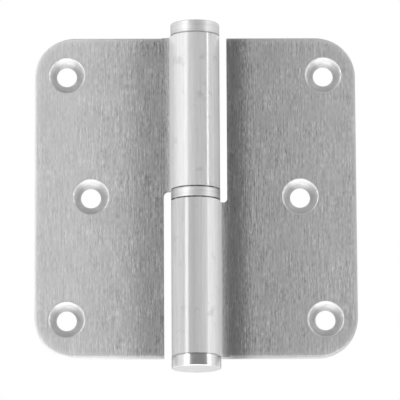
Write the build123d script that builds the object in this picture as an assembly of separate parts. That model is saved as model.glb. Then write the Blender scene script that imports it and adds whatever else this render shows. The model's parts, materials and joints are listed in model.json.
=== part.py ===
from build123d import *
import math
import os

# Paumelle (lift-off) hinge, laid open flat, in millimetres.
# The pin stands on the Z axis, the screw heads face -Y, and the origin is on the axis at mid-height.

# Leaves, cut from sheet
leaf_height = 89.0
leaf_reach = 44.0  # from the pin's axis to a leaf's outer edge
sheet = 3.0
closed_gap = 3.0  # between the front faces when the hinge is shut
outer_corner_radius = 11.0
front_edge_round = 0.8  # on the three outer edges; the free edge beside the knuckle is left as cut
back_edge_chamfer = 0.15

# Knuckles, rolled forward from the leaves in one piece with them
bend_radius = 2.0  # inside of the bend that lifts the sheet from the leaf to the knuckle
roll_gap = 0.15  # left open between the end of the roll and the back of the bend
tab_run = 0.3  # flat sheet ahead of the bend that keeps square edges
notch_corner_radius = 1.3
notch_relief = 0.3  # how far the notch runs past the end of the knuckle

# Countersunk screw holes
screw_hole_diameter = 5.5
countersink_diameter = 9.9
countersink_angle = 90.0
end_screw_spacing = 68.0
end_screw_inset = 8.8  # from the leaf's outer edge
middle_screw_inset = 15.4

# Pin, ring and end caps, turned from bar
pin_diameter = 7.3
pin_tip_gap = 2.5  # from the pin's tip to the upper cap
pin_tip_chamfer = 1.0
ring_height = 2.9
cap_height = 3.35
cap_spigot_length = 5.0
cap_rim_chamfer = 0.25
spigot_chamfer = 0.5
seam_chamfer = 0.15  # broken edge on each side of a joint line

# Fits, on the radius
running_clearance = 0.05
press_clearance = 0.01

# Worked out from the sizes above
bore_radius = pin_diameter / 2 + running_clearance
knuckle_radius = bore_radius + sheet
spigot_radius = bore_radius - press_clearance
front_face = closed_gap / 2
back_face = front_face + sheet
leaf_top = leaf_height / 2
knuckle_end = ring_height / 2
notch_top = knuckle_end + notch_relief
notch_start = min(knuckle_end, notch_top - notch_corner_radius)
bend_reach = knuckle_radius + bend_radius  # from the axis to the centre of the bend
bend_y = front_face - bend_radius
bend_x = -math.sqrt(bend_reach**2 - bend_y**2)


def leaf_plate():
    """Flat part of the left-hand leaf, with its outer edges softened all round."""
    width = leaf_reach + bend_x
    outline = Pos(bend_x - width / 2, 0) * Rectangle(width, leaf_height)
    outline = fillet(outline.vertices().group_by(Axis.X)[0], outer_corner_radius)
    plate = extrude(Plane.XZ.offset(-back_face) * outline, sheet)
    front_edges = plate.faces().sort_by(Axis.Y)[0].edges().sort_by(Axis.X)
    plate = fillet(front_edges[:-1], front_edge_round)
    back_edges = plate.faces().sort_by(Axis.Y)[-1].edges().sort_by(Axis.X)
    return chamfer(back_edges[:-1], back_edge_chamfer)


def roll_section():
    """Sheet's path from the leaf through the reverse bend and round the pin, seen along the axis."""
    bend_back = bend_radius + sheet
    to_axis = math.degrees(math.atan2(-bend_y, -bend_x))
    lift = 90 - to_axis
    opening_cosine = (knuckle_radius**2 + bend_reach**2 - (bend_back + roll_gap) ** 2) / (
        2 * knuckle_radius * bend_reach
    )
    wrap = 360 - math.degrees(math.acos(opening_cosine))
    front_bend = CenterArc((bend_x, bend_y), bend_radius, to_axis, lift)
    back_bend = CenterArc((bend_x, bend_y), bend_back, to_axis, lift)
    outside = CenterArc((0, 0), knuckle_radius, to_axis + 180, wrap)
    bore = CenterArc((0, 0), bore_radius, to_axis + 180, wrap)
    tab_x = bend_x - tab_run
    tab = Polyline((bend_x, front_face), (tab_x, front_face), (tab_x, back_face), (bend_x, back_face))
    roll_end = Line(outside @ 1, bore @ 1)
    return make_face([front_bend, outside, roll_end, bore, back_bend, *tab.edges()])


def notch():
    """Space beside the roll that lets the other leaf's knuckle and the ring pass."""
    depth = notch_top + leaf_top
    opening = Pos(bend_x / 2, notch_top - depth / 2) * Rectangle(-bend_x, depth)
    corner = opening.vertices().group_by(Axis.X)[0].sort_by(Axis.Y)[-1:]
    opening = fillet(corner, notch_corner_radius)
    space = extrude(Plane.XZ * opening, knuckle_radius, both=True)
    return space - Cylinder(knuckle_radius, leaf_height)


def rolled_knuckle():
    """Reverse bend and knuckle, with the knuckle's ends faced square and their edges broken."""
    roll = Pos(0, 0, notch_start) * extrude(roll_section(), leaf_top - notch_start)
    below_end = Cylinder(knuckle_radius, leaf_height, align=(Align.CENTER, Align.CENTER, Align.MAX))
    roll = roll - Pos(0, 0, knuckle_end) * below_end - notch()
    rims = roll.edges().filter_by(GeomType.CIRCLE)
    rims = rims.filter_by(lambda rim: math.isclose(rim.radius, knuckle_radius)).group_by(Axis.Z)
    return chamfer(rims[0] + rims[-1], seam_chamfer)


def screw_hole():
    """Countersunk hole, cut from its mouth at the origin down +Z."""
    slope = math.tan(math.radians(countersink_angle / 2))
    hole_radius = screw_hole_diameter / 2
    sink_radius = countersink_diameter / 2
    sink_depth = (sink_radius - hole_radius) / slope
    half = Polyline(
        (0, -sheet),
        (sink_radius + sheet * slope, -sheet),
        (hole_radius, sink_depth),
        (hole_radius, 2 * sheet),
        (0, 2 * sheet),
        close=True,
    )
    return revolve(Plane.XZ * make_face(half), Axis.Z)


def hinge_leaf():
    """Left-hand leaf with the upper knuckle, as one folded sheet."""
    end_x = end_screw_inset - leaf_reach
    middle_x = middle_screw_inset - leaf_reach
    end_z = end_screw_spacing / 2
    leaf = leaf_plate() + rolled_knuckle()
    for x, z in ((end_x, end_z), (middle_x, 0), (end_x, -end_z)):
        leaf -= Plane((x, front_face, z), z_dir=(0, 1, 0)) * screw_hole()
    return leaf


def turned_pin():
    """Pin that stands on the lower cap and ends short of the upper one."""
    foot = cap_spigot_length - leaf_top
    tip = leaf_top - cap_spigot_length - pin_tip_gap
    pin = Cylinder(pin_diameter / 2, tip - foot, align=(Align.CENTER, Align.CENTER, Align.MIN))
    return Pos(0, 0, foot) * chamfer(pin.edges().group_by(Axis.Z)[-1], pin_tip_chamfer)


def turned_ring():
    """Ring on the pin that carries the upper knuckle on the lower one."""
    blank = Cylinder(knuckle_radius, ring_height)
    blank = chamfer(blank.edges().filter_by(GeomType.CIRCLE), seam_chamfer)
    return blank - Cylinder(bore_radius, ring_height)


def end_cap():
    """Upper cap: a flush head with a spigot pressed into the knuckle."""
    head = Cylinder(knuckle_radius, cap_height, align=(Align.CENTER, Align.CENTER, Align.MIN))
    head = chamfer(head.edges().group_by(Axis.Z)[0], seam_chamfer)
    head = chamfer(head.edges().group_by(Axis.Z)[-1], cap_rim_chamfer)
    spigot = Cylinder(spigot_radius, cap_spigot_length, align=(Align.CENTER, Align.CENTER, Align.MAX))
    spigot = chamfer(spigot.edges().group_by(Axis.Z)[0], spigot_chamfer)
    return Pos(0, 0, leaf_top) * (head + spigot)


# The two leaves are the same pressing, and so are the two caps: half a turn about Y swaps them.
half_turn = Rot(0, 180, 0)
left_leaf = hinge_leaf()
top_cap = end_cap()
pieces = {
    "door_leaf": left_leaf,
    "frame_leaf": half_turn * left_leaf,
    "hinge_pin": turned_pin(),
    "bearing_ring": turned_ring(),
    "upper_cap": top_cap,
    "lower_cap": half_turn * top_cap,
}

os.makedirs("parts", exist_ok=True)
for name, piece in pieces.items():
    export_step(piece, f"parts/{name}.step")
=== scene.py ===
import json
import math

import bmesh
import bpy
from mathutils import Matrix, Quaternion, Vector


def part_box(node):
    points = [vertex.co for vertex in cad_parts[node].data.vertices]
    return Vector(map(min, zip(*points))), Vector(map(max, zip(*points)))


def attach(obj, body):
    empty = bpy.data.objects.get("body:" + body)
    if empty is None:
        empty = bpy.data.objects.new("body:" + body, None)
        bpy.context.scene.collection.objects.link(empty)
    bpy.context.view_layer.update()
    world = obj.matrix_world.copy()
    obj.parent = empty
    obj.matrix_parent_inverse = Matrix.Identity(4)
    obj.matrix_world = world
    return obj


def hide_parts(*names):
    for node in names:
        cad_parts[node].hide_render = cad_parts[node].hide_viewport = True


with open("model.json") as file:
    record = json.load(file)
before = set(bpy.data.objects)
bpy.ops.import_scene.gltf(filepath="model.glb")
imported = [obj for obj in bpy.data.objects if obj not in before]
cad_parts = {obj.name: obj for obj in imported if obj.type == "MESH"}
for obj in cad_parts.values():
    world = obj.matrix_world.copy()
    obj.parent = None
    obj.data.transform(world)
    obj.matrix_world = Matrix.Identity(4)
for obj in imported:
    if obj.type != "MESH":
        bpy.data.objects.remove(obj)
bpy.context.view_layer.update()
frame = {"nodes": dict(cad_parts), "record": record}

# Sizes of the hinge that its finishes follow, in metres
mm_per_metre = 1000
ring_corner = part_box("bearing_ring")[1]
leaf_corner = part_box("frame_leaf")[1]
knuckle_radius = ring_corner.x
ring_joint = ring_corner.z  # height of the joints above and below the ring
leaf_reach = leaf_corner.x
leaf_top = leaf_corner.z
outer_corner = 0.011
countersink_radius = 0.00495
countersink_rim = 0.00012  # width of the broken edge round a countersink

# Screw holes of a leaf, as distances from the pin and heights
mounts = {mount["name"]: mount for mount in frame["record"]["mounts"]}
end_screws = mounts["frame_leaf_end_screws"]
end_screw_x = end_screws["pos_m"][0]
end_screw_z = end_screws["dims"]["spacing_y_mm"] / 2 / mm_per_metre
middle_screw_x = mounts["frame_leaf_middle_screw"]["pos_m"][0]
screw_places = ((end_screw_x, end_screw_z), (middle_screw_x, 0), (end_screw_x, -end_screw_z))

# Limits that sort out the faces and edges of a mesh
merge_distance = 1e-7
sharp_edge = math.radians(40)
turned_to = 0.7  # a face is turned to an axis if its normal has more than this share along it
square_to = 0.95  # and square to it above this share

# Below, a pair of distances is in metres from the pin's axis, unless its comment says otherwise.
# A spread is two values of a noise or a distance, and the two values that they are spread to.

# Lines that each tool leaves
brushed_lines = {"Lines_per_mm": 3.4, "Line_length_mm": 1.5}
scratch_lines = {"Lines_per_mm": 2.2, "Line_length_mm": 2.5}
rolled_lines = {"Lines_per_mm": 1.6, "Line_length_mm": 9}
turned_lines = {"Lines_per_mm": 2.4, "Line_length_mm": 14}
countersunk_lines = {"Lines_per_mm": 4, "Line_length_mm": 10}
ground_lines = {"Lines_per_mm": 12, "Line_length_mm": 15}
longer_lines = (1, 0.2, 1)  # stretches half of the lines to five times their length
broad_grain = 0.35  # lines of the broad grain for each line of the fine one
noise_rough = 0.6
usual_noise = (0.3, 0.7)  # most of a noise's values lie between these

# Bright outer skin of the leaves, the ring and the caps
skin_ior = 2.0
skin_rough = 0.16

# Grime in the joint lines
grimy_joints = ((ring_joint, 1.0), (leaf_top, 0.45))  # height of each joint and strength of its grime
grime_reach = (0.00012, 0.00026)  # from a joint, where its grime begins to thin and where it ends
grime_rim_spread = (knuckle_radius - 0.0005, knuckle_radius - 0.0002, 0.2, 1)
grime_spots_per_metre = 600
grime_spots_spread = (0.3, 0.6, 0.6, 1)
grime_tone = 0.15  # share of the steel's tone that shows through grime

# Brushed finish of each leaf and its knuckle, fitted to the photograph, in which the two differ; their tones
# also carry painted shade and painted highlights
door_brushing_and_painted_light = {
    "side": -1,  # the way that the leaf lies from the pin, along X
    "tone": 0.74,  # where the brushing wheel reaches and bears fully
    "dull_and_shaded_band": (0.012, 0.022),  # from where the wheel can't reach and painted shade cast by the knuckle lies, to where it does
    "unreached_and_shaded": 0.85,  # share of the tone where it can't reach, made darker by painted shade cast by the knuckle
    "bears_and_shade": (0.0105, 0.033),  # from where the wheel bears lightly and the painted shade is darkest, to where it bears fully and the painted shade ends
    "light": 0.78,  # share of the tone where it bears lightly: painted shade cast by the knuckle
    "lines": (3.0, 1.1),  # strength of its lines where it bears lightly and where it bears fully
    "bend": 0.92,  # share of the tone in the bend beside the knuckle: painted shade below 1, painted highlight above 1
    "knuckle": (0.79, 0.79),  # tone of the knuckle on its free side and on its leaf's side; where the two differ, painted highlight and shade
}
frame_brushing_and_painted_light = {
    "side": 1,
    # lower than the door leaf's tone: painted shade on the frame leaf
    "tone": 0.585,
    # a darker band than the door leaf's: more painted shade cast by the knuckle
    "dull_and_shaded_band": (0.0125, 0.0157),
    "unreached_and_shaded": 0.61,
    "bears_and_shade": (0.0155, 0.037),
    "light": 0.82,
    "lines": (2.5, 2.1),
    # painted highlight on the bend
    "bend": 1.55,
    # darker free side and brighter leaf's side: painted shade and painted highlight
    "knuckle": (0.7, 0.88),
}

# Sheet of the leaves
leaf_stretch = 0.8  # of its sheen, across the lines
leaf_rough = 0.64
leaf_rough_spread = (*usual_noise, -0.05, 0.05)
leaf_skin = 0.15
leaf_line_depth = 0.00004
ragged_sway = 0.004  # how far the fine lines carry the edge of the brushing to and fro, in metres
bend_fades = (0.0085, 0.0105)  # where the painted light on the bend begins to fade and where it ends
scratch_spread = (0.6, 0.7, 0, 0.4)
scratch_place_spread = (0.014, 0.024, 1, 0.2)
patches_per_metre = 200
patches_spread = (0.35, 0.65, 0.55, 1.25)
broad_spread = (0.2, 0.8, 0.93, 1.07)
clouds_per_metre = 90
clouds_detail = 3
clouds_spread = (0.2, 0.8, 0.97, 1.03)
edge_lines_spread = (0, 0.0015, 0.2, 1)  # the lines' strength, by the distance from the outer edges
edge_highlight_spread = (0.0003, 0.002, 1.14, 1)  # painted highlight: the rounded outer edges are made brighter

# Rolled knuckles
knuckle_ends = (knuckle_radius, 0.0074)  # where the knuckle's finish gives way to the leaf's
# Measured towards the leaf, where the free side's finish gives way to that of the leaf's side
free_side_ends = (-0.0005, 0.0035)
knuckle_rough = (0.64, 0.5)  # on its free side and on its leaf's side
knuckle_skin = (1.0, 0.2)
knuckle_line_depth = 0.25  # share of the leaf's
streaks_spread = (*usual_noise, 0.92, 1.08)
smudges_per_metre = 260
smudges_spread = (0.6, 0.75, 1, 0.86)

# Ring and caps, turned from bar
satin_finish = {"tone": 0.71, "rough": 0.62, "stretch": 0.4, "skin": 0.2}
polished_finish = {"tone": 0.72, "rough": 0.3, "stretch": 0.6, "skin": 0.15}
turned_line_tone = 0.2  # how much the lines vary the tone, as a share of the roughness
turned_line_rough = 0.1  # how much they vary the roughness
turned_line_depth = 0.000006

# Countersinks and pin
countersunk_tone = (0.6, 0.74)
countersunk_rough = (0.27, 0.37)
countersunk_line_depth = 0.000005
ground_stretch = 0.4
ground_tone = (0.6, 0.7)
ground_rough = (0.2, 0.3)

# Studio
floor_clouds_per_metre = 2
floor_tone = (0.8, 0.84)
floor_rough = 0.7
lamp_distance = 0.7
cloth_distance = 1.6
cloth_step = 10  # degrees of a cloth that one flat panel covers


# Nodes


def connect(tree, value, socket):
    """Links a socket, or sets the value."""
    if isinstance(value, bpy.types.NodeSocket):
        tree.links.new(value, socket)
    else:
        socket.default_value = value


def place(tree, kind, **inputs):
    """Adds a node and sets the inputs that are named."""
    node = tree.nodes.new(kind)
    for name, value in inputs.items():
        connect(tree, value, node.inputs[name.replace("_", " ")])
    return node


def arithmetic(tree, operation, first, second=0.0):
    """One sum on two values or sockets."""
    node = tree.nodes.new("ShaderNodeMath")
    node.operation = operation
    connect(tree, first, node.inputs[0])
    connect(tree, second, node.inputs[1])
    return node.outputs[0]


def product(tree, first, *others):
    """Multiplies values or sockets together."""
    for other in others:
        first = arithmetic(tree, "MULTIPLY", first, other)
    return first


def vector_sum(tree, operation, first, second=(0, 0, 0)):
    """One sum on two vectors."""
    node = tree.nodes.new("ShaderNodeVectorMath")
    node.operation = operation
    connect(tree, first, node.inputs[0])
    connect(tree, second, node.inputs[1])
    return node


def spread(tree, value, from_low, from_high, to_low, to_high):
    """Spreads a value from one range over another, without passing its ends."""
    node = tree.nodes.new("ShaderNodeMapRange")
    for socket, given in zip(node.inputs, (value, from_low, from_high, to_low, to_high)):
        connect(tree, given, socket)
    return node.outputs["Result"]


def blend(tree, share, first, second):
    """Mixes two values by a share that varies over the surface."""
    return place(tree, "ShaderNodeMix", Factor=share, A=first, B=second).outputs["Result"]


def noise(tree, point, scale, detail=2):
    """Cloudy noise between 0 and 1."""
    node = place(
        tree, "ShaderNodeTexNoise", Vector=point, Scale=scale, Detail=detail, Roughness=noise_rough
    )
    return node.outputs["Fac"]


def object_point(tree):
    """Place of a point on the piece."""
    return tree.nodes.new("ShaderNodeTexCoord").outputs["Object"]


def distance_from_pin(tree, point):
    """How far a point is from the pin's axis."""
    flat = vector_sum(tree, "MULTIPLY", point, (1, 1, 0)).outputs[0]
    return vector_sum(tree, "LENGTH", flat).outputs["Value"]


def distance_from_outline(tree, point):
    """How far a point of a leaf is inside its round-cornered outer edges."""
    # A whole metre along Y leaves the sheet's thickness out of it
    corner_middle = (leaf_reach - outer_corner, 1, leaf_top - outer_corner)
    apart = vector_sum(tree, "ABSOLUTE", point).outputs[0]
    past_corner = vector_sum(tree, "SUBTRACT", apart, corner_middle).outputs[0]
    past_corner = vector_sum(tree, "MAXIMUM", past_corner).outputs[0]
    from_middle = vector_sum(tree, "LENGTH", past_corner).outputs["Value"]
    return arithmetic(tree, "SUBTRACT", outer_corner, from_middle)


# Shader groups


def steel_grain_group():
    """Lines in steel: the grain map's first number runs across them, its second along them."""
    tree = bpy.data.node_groups.new("steel_grain", "ShaderNodeTree")
    for name in ("Lines per mm", "Line length mm"):
        tree.interface.new_socket(name, in_out="INPUT", socket_type="NodeSocketFloat")
    for name in ("Fine", "Broad"):
        tree.interface.new_socket(name, in_out="OUTPUT", socket_type="NodeSocketFloat")
    given = tree.nodes.new("NodeGroupInput")
    result = tree.nodes.new("NodeGroupOutput")
    grain = tree.nodes.new("ShaderNodeUVMap")
    grain.uv_map = "grain"
    across = product(tree, given.outputs["Lines per mm"], mm_per_metre)
    along = arithmetic(tree, "DIVIDE", mm_per_metre, given.outputs["Line length mm"])
    scale = place(tree, "ShaderNodeCombineXYZ", X=across, Y=along).outputs[0]
    lines = vector_sum(tree, "MULTIPLY", grain.outputs[0], scale).outputs[0]
    longer = vector_sum(tree, "MULTIPLY", lines, longer_lines).outputs[0]
    both = arithmetic(tree, "ADD", noise(tree, lines, 1), noise(tree, longer, 1))
    tree.links.new(product(tree, both, 0.5), result.inputs["Fine"])
    tree.links.new(noise(tree, lines, broad_grain), result.inputs["Broad"])
    return tree


def joint_grime_group():
    """Dirt caught in the joint lines beside the ring and the caps, most of it at their rims."""
    tree = bpy.data.node_groups.new("joint_grime", "ShaderNodeTree")
    tree.interface.new_socket("Grime", in_out="OUTPUT", socket_type="NodeSocketFloat")
    result = tree.nodes.new("NodeGroupOutput")
    point = object_point(tree)
    height = place(tree, "ShaderNodeSeparateXYZ", Vector=point).outputs["Z"]
    height = arithmetic(tree, "ABSOLUTE", height)
    marks = []
    for joint, strength in grimy_joints:
        away = arithmetic(tree, "ABSOLUTE", arithmetic(tree, "SUBTRACT", height, joint))
        marks.append(spread(tree, away, *grime_reach, strength, 0))
    spots = spread(tree, noise(tree, point, grime_spots_per_metre), *grime_spots_spread)
    at_rim = spread(tree, distance_from_pin(tree, point), *grime_rim_spread)
    grime = product(tree, arithmetic(tree, "MAXIMUM", *marks), spots, at_rim)
    tree.links.new(grime, result.inputs["Grime"])
    return tree


def use_group(tree, group, **inputs):
    """Puts a shader group in a material."""
    node = tree.nodes.new("ShaderNodeGroup")
    node.node_tree = group
    for name, value in inputs.items():
        node.inputs[name.replace("_", " ")].default_value = value
    return node.outputs


steel_grain = steel_grain_group()
joint_grime = joint_grime_group()


# Materials


def new_steel(name, stretch):
    """Metal with its sheen stretched across the grain, and a skin that shows where it is given a weight."""
    material = bpy.data.materials.new(name)
    material.use_nodes = True
    tree = material.node_tree
    shader = tree.nodes["Principled BSDF"]
    shader.inputs["Metallic"].default_value = 1
    shader.inputs["Anisotropic"].default_value = stretch
    shader.inputs["Coat IOR"].default_value = skin_ior
    shader.inputs["Coat Roughness"].default_value = skin_rough
    direction = tree.nodes.new("ShaderNodeTangent")
    direction.direction_type = "UV_MAP"
    direction.uv_map = "grain"
    tree.links.new(direction.outputs[0], shader.inputs["Tangent"])
    return material, tree, shader


def raise_lines(tree, shader, height, depth):
    """Gives the lines a depth that the light catches."""
    bump = place(tree, "ShaderNodeBump", Strength=1.0, Distance=depth, Height=height)
    tree.links.new(bump.outputs[0], shader.inputs["Normal"])


def line_strength(tree, brushing, point, from_axis, from_edge, grain):
    """The wheel's lines on a leaf, around 1: uneven, with scratches that are strongest near the knuckle."""
    strength = product(
        tree,
        spread(tree, from_axis, *brushing["bears_and_shade"], *brushing["lines"]),
        spread(tree, from_edge, *edge_lines_spread),
        spread(tree, noise(tree, point, patches_per_metre), *patches_spread),
    )
    lines = product(tree, spread(tree, grain["Fine"], 0, 1, -0.5, 0.5), strength)
    lines = arithmetic(tree, "ADD", lines, 1)
    scratches = product(
        tree,
        spread(tree, use_group(tree, steel_grain, **scratch_lines)["Fine"], *scratch_spread),
        spread(tree, from_axis, *scratch_place_spread),
    )
    lines = arithmetic(tree, "ADD", lines, scratches)
    broad = spread(tree, grain["Broad"], *broad_spread)
    clouds = spread(tree, noise(tree, point, clouds_per_metre, clouds_detail), *clouds_spread)
    return product(tree, lines, broad, clouds)


def sheet_tone(tree, brushing, from_axis, from_edge, grain, lines):
    """Tone of a leaf's sheet: dull where the wheel can't reach, with painted shade beside the knuckle,
    painted light on the bend and a painted highlight on the rounded edges.
    """
    sway = spread(tree, grain["Fine"], 0, 1, -ragged_sway, ragged_sway)
    ragged = arithmetic(tree, "ADD", from_axis, sway)
    # Dull band beside the knuckle: partly the finish that the wheel can't reach, partly painted shade cast
    # by the knuckle
    touched_and_shaded = spread(tree, ragged, *brushing["dull_and_shaded_band"], brushing["unreached_and_shaded"], 1)
    # Darker towards the knuckle: painted shade cast by the knuckle
    painted_knuckle_shade = spread(tree, from_axis, *brushing["bears_and_shade"], brushing["light"], 1)
    # Bend beside the knuckle: painted shade on the door leaf, painted highlight on the frame leaf
    in_bend = spread(tree, from_axis, *bend_fades, brushing["bend"], 1)
    # Rounded outer edges: painted highlight
    painted_edge_highlight = spread(tree, from_edge, *edge_highlight_spread)
    return product(tree, touched_and_shaded, painted_knuckle_shade, brushing["tone"], in_bend, lines, painted_edge_highlight)


def knuckle_tone(tree, brushing, point, leafward):
    """Tone of a knuckle: streaked by the rolling, with a few dull smudges, and painted highlight and shade
    where its free side and its leaf's side differ.
    """
    smudges = spread(tree, noise(tree, point, smudges_per_metre), *smudges_spread)
    streaks = spread(tree, use_group(tree, steel_grain, **rolled_lines)["Fine"], *streaks_spread)
    return product(tree, smudges, blend(tree, leafward, *brushing["knuckle"]), streaks)


def brushed_leaf_steel(name, brushing):
    """Sheet brushed up the leaf, with a knuckle that has a finish of its own on each side, and painted shade
    and highlights in the tone of both.
    """
    material, tree, shader = new_steel(name, leaf_stretch)
    grain = use_group(tree, steel_grain, **brushed_lines)
    grime = use_group(tree, joint_grime)["Grime"]
    point = object_point(tree)
    from_axis = distance_from_pin(tree, point)
    from_edge = distance_from_outline(tree, point)
    to_right = place(tree, "ShaderNodeSeparateXYZ", Vector=point).outputs["X"]
    leafward = spread(tree, product(tree, to_right, brushing["side"]), *free_side_ends, 0, 1)
    on_leaf = spread(tree, from_axis, *knuckle_ends, 0, 1)
    in_joint = product(tree, grime, arithmetic(tree, "SUBTRACT", 1, on_leaf))

    lines = line_strength(tree, brushing, point, from_axis, from_edge, grain)
    on_sheet = sheet_tone(tree, brushing, from_axis, from_edge, grain, lines)
    clean = blend(tree, on_leaf, knuckle_tone(tree, brushing, point, leafward), on_sheet)
    grey = product(tree, clean, spread(tree, in_joint, 0, 1, 1, grime_tone))
    tree.links.new(grey, shader.inputs["Base Color"])

    rough = blend(tree, on_leaf, blend(tree, leafward, *knuckle_rough), leaf_rough)
    rough = arithmetic(tree, "ADD", rough, spread(tree, grain["Fine"], *leaf_rough_spread))
    tree.links.new(rough, shader.inputs["Roughness"])
    skin = blend(tree, on_leaf, blend(tree, leafward, *knuckle_skin), leaf_skin)
    skin = arithmetic(tree, "SUBTRACT", skin, in_joint)
    tree.links.new(spread(tree, skin, 0, 1, 0, 1), shader.inputs["Coat Weight"])
    height = product(tree, lines, spread(tree, on_leaf, 0, 1, knuckle_line_depth, 1))
    raise_lines(tree, shader, height, leaf_line_depth)
    return material


def turned_steel(name, finish):
    """Bar turned and then brought to a satin or a polish, with fine lines round it."""
    material, tree, shader = new_steel(name, finish["stretch"])
    tone, rough = finish["tone"], finish["rough"]
    grain = use_group(tree, steel_grain, **turned_lines)
    grime = use_group(tree, joint_grime)["Grime"]
    varies = turned_line_tone * rough
    grey = spread(tree, grain["Fine"], *usual_noise, tone * (1 - varies), tone * (1 + varies))
    grey = product(tree, grey, spread(tree, grime, 0, 1, 1, grime_tone))
    tree.links.new(grey, shader.inputs["Base Color"])
    smoother, rougher = rough * (1 - turned_line_rough), rough * (1 + turned_line_rough)
    tree.links.new(spread(tree, grain["Broad"], *usual_noise, smoother, rougher), shader.inputs["Roughness"])
    tree.links.new(spread(tree, grime, 0, 1, finish["skin"], 0), shader.inputs["Coat Weight"])
    raise_lines(tree, shader, grain["Fine"], turned_line_depth)
    return material


def bare_steel(name, stretch, lines, tone, rough):
    """Steel as a tool leaves it, with the broad grain in its tone and the fine one in its roughness."""
    material, tree, shader = new_steel(name, stretch)
    grain = use_group(tree, steel_grain, **lines)
    tree.links.new(spread(tree, grain["Broad"], *usual_noise, *tone), shader.inputs["Base Color"])
    tree.links.new(spread(tree, grain["Fine"], *usual_noise, *rough), shader.inputs["Roughness"])
    return material, tree, shader, grain


def countersink_steel():
    """Cone left by the countersinking tool, with rings round it and no brushing."""
    material, tree, shader, grain = bare_steel(
        "countersink_steel", 0, countersunk_lines, countersunk_tone, countersunk_rough
    )
    raise_lines(tree, shader, grain["Fine"], countersunk_line_depth)
    return material


def ground_pin_steel():
    """Pin ground smooth to run in the knuckle."""
    return bare_steel("ground_pin_steel", ground_stretch, ground_lines, ground_tone, ground_rough)[0]


def pale_floor_paint():
    """Matt pale floor with a faint unevenness."""
    material = bpy.data.materials.new("pale_floor")
    material.use_nodes = True
    tree = material.node_tree
    shader = tree.nodes["Principled BSDF"]
    clouds = noise(tree, object_point(tree), floor_clouds_per_metre)
    tree.links.new(spread(tree, clouds, 0, 1, *floor_tone), shader.inputs["Base Color"])
    shader.inputs["Roughness"].default_value = floor_rough
    return material


def grey_cloth(name, level):
    """Grey studio cloth that the steel mirrors."""
    material = bpy.data.materials.new(name)
    material.use_nodes = True
    tree = material.node_tree
    tree.nodes.remove(tree.nodes["Principled BSDF"])
    glow = place(tree, "ShaderNodeEmission", Color=(1, 1, 1, 1), Strength=level)
    tree.links.new(glow.outputs[0], tree.nodes["Material Output"].inputs["Surface"])
    return material


# Grain map: across the tool's lines, and along them


def turn_from_front(x, y, middle=0.0):
    """Angle round an axis from the front, kept within half a turn of a face's middle."""
    return middle + math.remainder(math.atan2(x, -y) - middle, 2 * math.pi)


def turn_on_face(point, middle):
    """Angle of a point round the pin, without a jump inside the face that has this middle."""
    return turn_from_front(point.x, point.y, turn_from_front(middle.x, middle.y))


def turned_grain(normal, middle, point):
    """Lines run round the axis on the sides and in rings on the ends."""
    across = math.hypot(point.x, point.y) if abs(normal.z) > turned_to else point.z
    return across, turn_on_face(point, middle) * knuckle_radius


def screw_hole_at(middle):
    """Middle of the screw hole that a face lies in, if any."""
    for x, z in screw_places:
        side = math.copysign(x, middle.x)
        if math.hypot(middle.x - side, middle.z - z) < countersink_radius + countersink_rim:
            return Vector((side, 0, z))
    return None


def in_countersink(face):
    """Whether a face is part of a screw hole's wall or rim."""
    return abs(face.normal.y) < square_to and screw_hole_at(face.calc_center_median()) is not None


def leaf_grain(normal, middle, point):
    """Lines run up the leaf and the knuckle, along the cut edges, and round the countersinks."""
    hole = screw_hole_at(middle)
    if hole and abs(normal.y) < square_to:
        away = point - hole
        face_away = middle - hole
        turn = turn_from_front(away.x, away.z, turn_from_front(face_away.x, face_away.z))
        return math.hypot(away.x, away.z), turn * countersink_radius
    if abs(normal.z) > turned_to:
        return point.y, point.x
    if math.hypot(middle.x, middle.y) < knuckle_radius:
        return turn_on_face(point, middle) * knuckle_radius, point.z
    if abs(normal.x) > turned_to:
        return point.y, point.z
    return point.x, point.z


def map_grain(shape, grain_at):
    """Writes the grain map on every face of a shape."""
    layer = shape.loops.layers.uv.new("grain")
    for face in shape.faces:
        middle = face.calc_center_median()
        for corner in face.loops:
            corner[layer].uv = grain_at(face.normal, middle, corner.vert.co)


# Pieces

node_body = {
    node: body for body, nodes in frame["record"]["behaviour"]["bodies"].items() for node in nodes
}


def joined_shape(node):
    """Copy of a CAD piece with its faces joined up."""
    shape = bmesh.new()
    shape.from_mesh(frame["nodes"][node].data)
    bmesh.ops.remove_doubles(shape, verts=shape.verts, dist=merge_distance)
    bmesh.ops.recalc_face_normals(shape, faces=shape.faces)
    for face in shape.faces:
        face.material_index = 0
    return shape


def finish_piece(name, shape, node, materials):
    """Makes the shape a piece that stands for a CAD node and moves with its body."""
    for face in shape.faces:
        face.smooth = True
    for edge in shape.edges:
        edge.smooth = len(edge.link_faces) == 2 and edge.calc_face_angle() < sharp_edge
    mesh = bpy.data.meshes.new(name)
    shape.to_mesh(mesh)
    shape.free()
    for material in materials:
        mesh.materials.append(material)
    piece = bpy.data.objects.new(name, mesh)
    bpy.context.scene.collection.objects.link(piece)
    shading = piece.modifiers.new("true_shading", "WEIGHTED_NORMAL")
    shading.keep_sharp = True
    shading.weight = 100
    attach(piece, node_body[node])
    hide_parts(node)


def break_countersink_rims(shape):
    """Bevels the edge between the leaf's face and each countersink."""
    rims = []
    for edge in shape.edges:
        walls = [face for face in edge.link_faces if in_countersink(face)]
        flats = [face for face in edge.link_faces if face.normal.y < -square_to]
        if walls and flats:
            rims.append(edge)
    bmesh.ops.bevel(
        shape, geom=rims, offset=countersink_rim, affect="EDGES", segments=1, profile=0.5, material=-1
    )
    shape.normal_update()


def rolled_leaf(node, materials):
    """Leaf and knuckle: the CAD sheet, with its countersinks in a finish of their own."""
    shape = joined_shape(node)
    break_countersink_rims(shape)
    map_grain(shape, leaf_grain)
    for face in shape.faces:
        face.material_index = 1 if in_countersink(face) else 0
    finish_piece(node + "_sheet", shape, node, materials)


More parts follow.
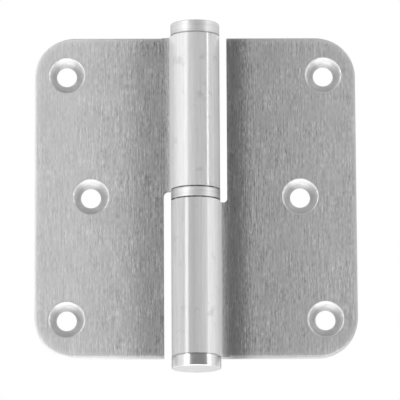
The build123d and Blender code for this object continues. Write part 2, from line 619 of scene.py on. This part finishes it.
def turned_piece(node, material):
    """Ring, cap or pin: the CAD solid with its faces joined up."""
    shape = joined_shape(node)
    map_grain(shape, turned_grain)
    finish_piece(node + "_turned", shape, node, [material])


# Studio: azimuths go round from the front and elevations up from the level, in degrees


def studio_sheet(name, panels, material):
    """Plain flat panels of the studio, which aren't part of the hinge."""
    shape = bmesh.new()
    for corners in panels:
        shape.faces.new([shape.verts.new(corner) for corner in corners])
    mesh = bpy.data.meshes.new(name)
    shape.to_mesh(mesh)
    shape.free()
    mesh.materials.append(material)
    sheet = bpy.data.objects.new(name, mesh)
    bpy.context.scene.collection.objects.link(sheet)
    return sheet


def level_panel(reach, height):
    """Corners of a square panel that lies level above or below the hinge."""
    return [(x * reach, y * reach, height) for x, y in ((-1, -1), (1, -1), (1, 1), (-1, 1))]


def direction_to(azimuth, elevation):
    """Level step from the hinge towards an azimuth, with the rise for an elevation."""
    turn = math.radians(azimuth)
    return Vector((math.sin(turn), -math.cos(turn), math.tan(math.radians(elevation))))


def cloth_round(azimuths, elevations):
    """Corners of the panels of a cloth hung round the hinge, between two azimuths and two elevations."""
    (first, last), (low, high) = azimuths, elevations
    count = math.ceil((last - first) / cloth_step)
    turns = [first + (last - first) * step / count for step in range(count + 1)]
    panels = []
    for start, end in zip(turns, turns[1:]):
        ends = ((start, low), (end, low), (end, high), (start, high))
        panels.append([direction_to(*corner) * cloth_distance for corner in ends])
    return panels


def hang_cloth(name, panels, level):
    """Grey cloth that only the steel mirrors: it doesn't show behind the hinge or shade the floor."""
    cloth = studio_sheet(name, panels, grey_cloth(name, level))
    cloth.visible_camera = False
    cloth.visible_diffuse = False
    cloth.visible_shadow = False


def soft_light(name, azimuths, elevations, level):
    """Soft light that fills the space between two azimuths and two elevations, turned to the hinge."""
    lamp = bpy.data.lights.new(name, "AREA")
    lamp.shape = "RECTANGLE"
    width, height = (math.radians(last - first) / 2 for first, last in (azimuths, elevations))
    lamp.size = 2 * lamp_distance * math.tan(width)
    lamp.size_y = 2 * lamp_distance * math.tan(height)
    lamp.energy = level * math.pi * lamp.size * lamp.size_y
    away = direction_to(sum(azimuths) / 2, sum(elevations) / 2).normalized()
    light = bpy.data.objects.new(name, lamp)
    light.location = away * lamp_distance
    light.rotation_euler = away.to_track_quat("Z", "Y").to_euler()
    bpy.context.scene.collection.objects.link(light)


def white_surroundings(seen, lighting):
    """White all round for the camera and the steel, and a level of its own for matt surfaces."""
    world = bpy.data.worlds.new("studio")
    bpy.context.scene.world = world
    world.use_nodes = True
    tree = world.node_tree
    path = tree.nodes.new("ShaderNodeLightPath")
    shown = arithmetic(tree, "MAXIMUM", path.outputs["Is Camera Ray"], path.outputs["Is Glossy Ray"])
    shown = arithmetic(tree, "MAXIMUM", shown, path.outputs["Is Transmission Ray"])
    background = tree.nodes["Background"]
    background.inputs["Color"].default_value = (1, 1, 1, 1)
    tree.links.new(spread(tree, shown, 0, 1, lighting, seen), background.inputs["Strength"])


def photo_camera():
    """Long lens a little below the hinge, as the photograph was taken."""
    azimuth, elevation, roll = (math.radians(angle) for angle in (-0.643, -11.228, -0.298))
    target = Vector((0.001178, 0.0, -0.001255))
    distance = 1.131
    lens_pixels = 4147.0
    image_pixels = 400
    sensor = 36
    back = Vector(
        (
            math.sin(azimuth) * math.cos(elevation),
            -math.cos(azimuth) * math.cos(elevation),
            math.sin(elevation),
        )
    )
    data = bpy.data.cameras.new("photo_camera")
    data.sensor_width = sensor
    data.lens = sensor * lens_pixels / image_pixels
    camera = bpy.data.objects.new("photo_camera", data)
    camera.rotation_mode = "QUATERNION"
    camera.location = target + back * distance
    straight = (-back).to_track_quat("-Z", "Y")
    camera.rotation_quaternion = straight @ Quaternion((0, 0, 1), roll)
    bpy.context.scene.collection.objects.link(camera)
    bpy.context.scene.camera = camera


# The hinge in its studio

sink_steel = countersink_steel()
door_steel = brushed_leaf_steel("door_leaf_steel", door_brushing_and_painted_light)
frame_steel = brushed_leaf_steel("frame_leaf_steel", frame_brushing_and_painted_light)
satin_steel = turned_steel("satin_turned_steel", satin_finish)
polished_steel = turned_steel("polished_turned_steel", polished_finish)
rolled_leaf("door_leaf", [door_steel, sink_steel])
rolled_leaf("frame_leaf", [frame_steel, sink_steel])
turned_piece("bearing_ring", satin_steel)
turned_piece("upper_cap", satin_steel)
turned_piece("lower_cap", polished_steel)
turned_piece("hinge_pin", ground_pin_steel())

studio_sheet("floor", [level_panel(reach=6.0, height=-0.9)], pale_floor_paint())
hang_cloth("roof_cloth", [level_panel(reach=0.8, height=1.7)], level=0.65)
hang_cloth("front_cloth", cloth_round(azimuths=(-35, 55), elevations=(-20, 38)), level=0.22)
hang_cloth("back_cloth", cloth_round(azimuths=(150, 210), elevations=(-8, 60)), level=0.2)
soft_light("left_strip", azimuths=(-53, -37), elevations=(-28, 38), level=3.0)
soft_light("foot_light", azimuths=(-45, 45), elevations=(-99, -59), level=0.7)
soft_light("right_strip", azimuths=(57, 64), elevations=(-20, 38), level=4.3)
white_surroundings(seen=1.0, lighting=1.25)
photo_camera()
bpy.context.scene.view_settings.view_transform = "Standard"
